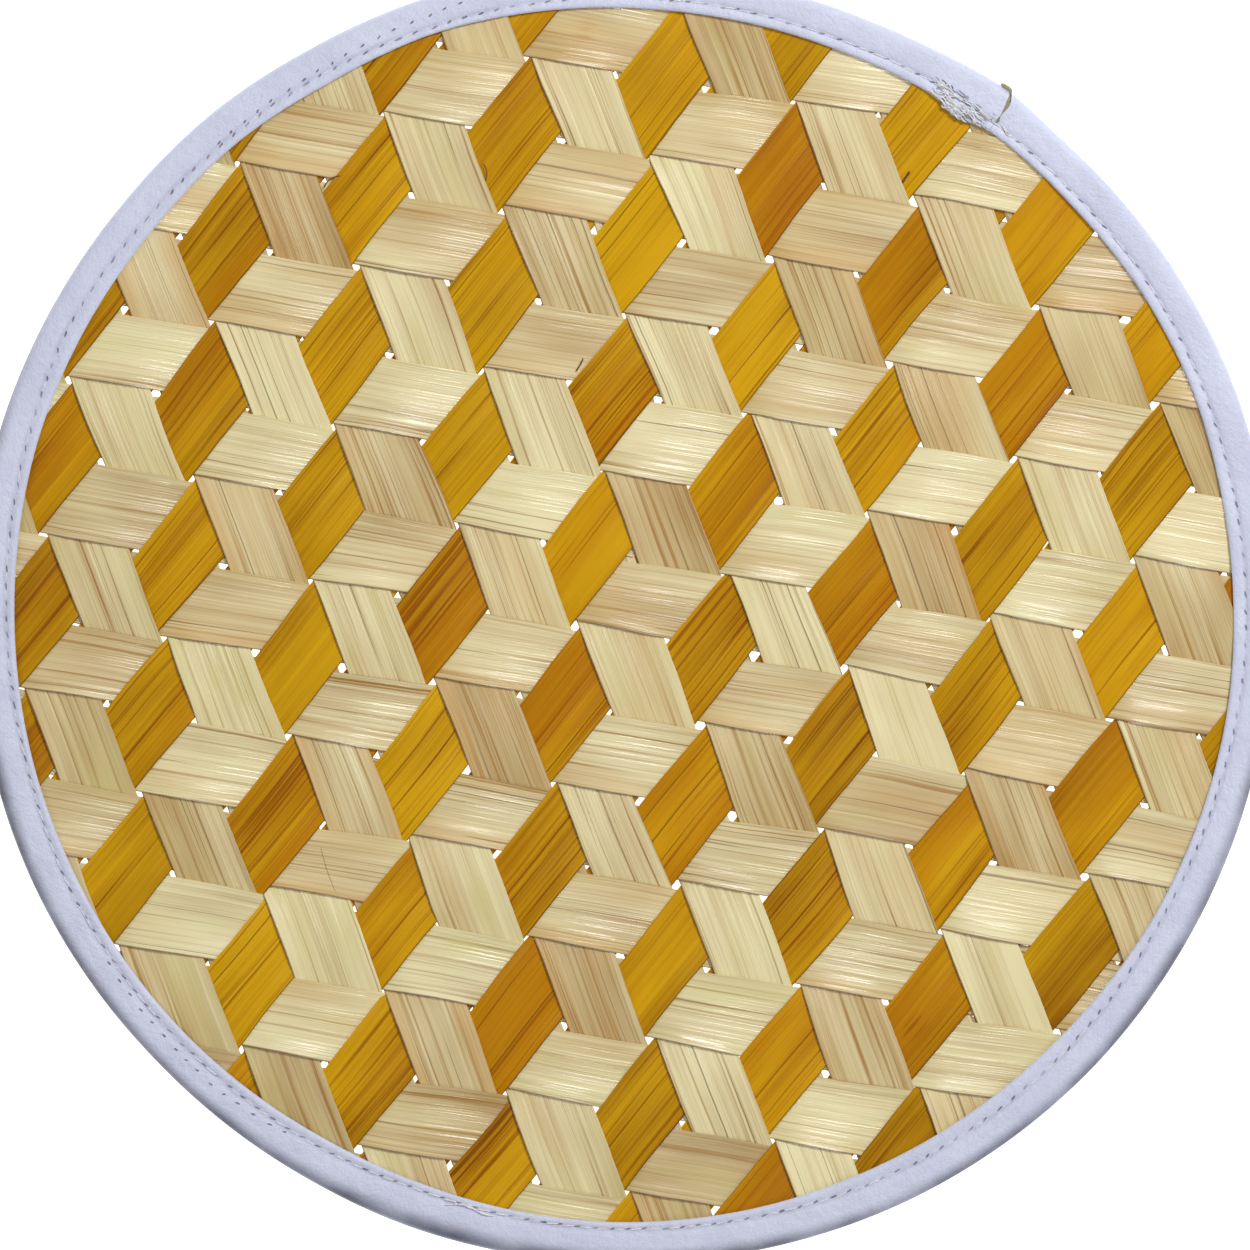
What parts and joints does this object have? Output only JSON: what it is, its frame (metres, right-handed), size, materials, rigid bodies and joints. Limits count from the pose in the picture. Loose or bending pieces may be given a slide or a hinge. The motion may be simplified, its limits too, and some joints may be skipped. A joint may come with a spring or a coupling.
{
  "type": "bamboo placemat",
  "caption": "Flat round table mat woven in three directions from wide bamboo strips, showing a pattern of tumbling blocks, with its edge bound by a folded and sewn tape.",
  "frame": {"origin": "on the surface the mat rests on, below the middle of its outline", "axes": "+Z up through the mat; seen from above, +X to the right of the picture and +Y up in the picture, so the level strips fall 9.8 degrees towards +X"},
  "size_m": [0.3002, 0.2992, 0.0035],
  "materials": {
    "polished_bamboo": "natural bamboo outer skin, split and planed, glossy along the grain",
    "plain_bamboo": "natural bamboo, planed, with a dull sheen along the grain",
    "gold_bamboo": "bamboo dyed gold, darker streaks along the grain, dull sheen",
    "edge_tape": "pale lavender vinyl with a fine leather grain, soft",
    "sewing_thread": "white spun sewing thread"
  },
  "bodies": {
    "root": {"edge_tape": "edge_tape", "level_strip_01": "polished_bamboo", "level_strip_02": "polished_bamboo", "level_strip_03": "polished_bamboo", "level_strip_04": "polished_bamboo", "level_strip_05": "polished_bamboo", "level_strip_06": "polished_bamboo", "level_strip_07": "polished_bamboo", "level_strip_08": "polished_bamboo", "level_strip_09": "polished_bamboo", "level_strip_10": "polished_bamboo", "level_strip_11": "polished_bamboo", "level_strip_12": "polished_bamboo", "level_strip_13": "polished_bamboo", "level_strip_14": "polished_bamboo", "level_strip_15": "polished_bamboo", "level_strip_16": "polished_bamboo", "level_strip_17": "polished_bamboo", "steep_strip_01": "plain_bamboo", "steep_strip_02": "plain_bamboo", "steep_strip_03": "plain_bamboo", "steep_strip_04": "plain_bamboo", "steep_strip_05": "plain_bamboo", "steep_strip_06": "plain_bamboo", "steep_strip_07": "plain_bamboo", "steep_strip_08": "plain_bamboo", "steep_strip_09": "plain_bamboo", "steep_strip_10": "plain_bamboo", "steep_strip_11": "plain_bamboo", "steep_strip_12": "plain_bamboo", "steep_strip_13": "plain_bamboo", "steep_strip_14": "plain_bamboo", "steep_strip_15": "plain_bamboo", "steep_strip_16": "plain_bamboo", "steep_strip_17": "plain_bamboo", "gold_strip_01": "gold_bamboo", "gold_strip_02": "gold_bamboo", "gold_strip_03": "gold_bamboo", "gold_strip_04": "gold_bamboo", "gold_strip_05": "gold_bamboo", "gold_strip_06": "gold_bamboo", "gold_strip_07": "gold_bamboo", "gold_strip_08": "gold_bamboo", "gold_strip_09": "gold_bamboo", "gold_strip_10": "gold_bamboo", "gold_strip_11": "gold_bamboo", "gold_strip_12": "gold_bamboo", "gold_strip_13": "gold_bamboo", "gold_strip_14": "gold_bamboo", "gold_strip_15": "gold_bamboo", "gold_strip_16": "gold_bamboo", "gold_strip_17": "gold_bamboo"}
  },
  "joints": []
}
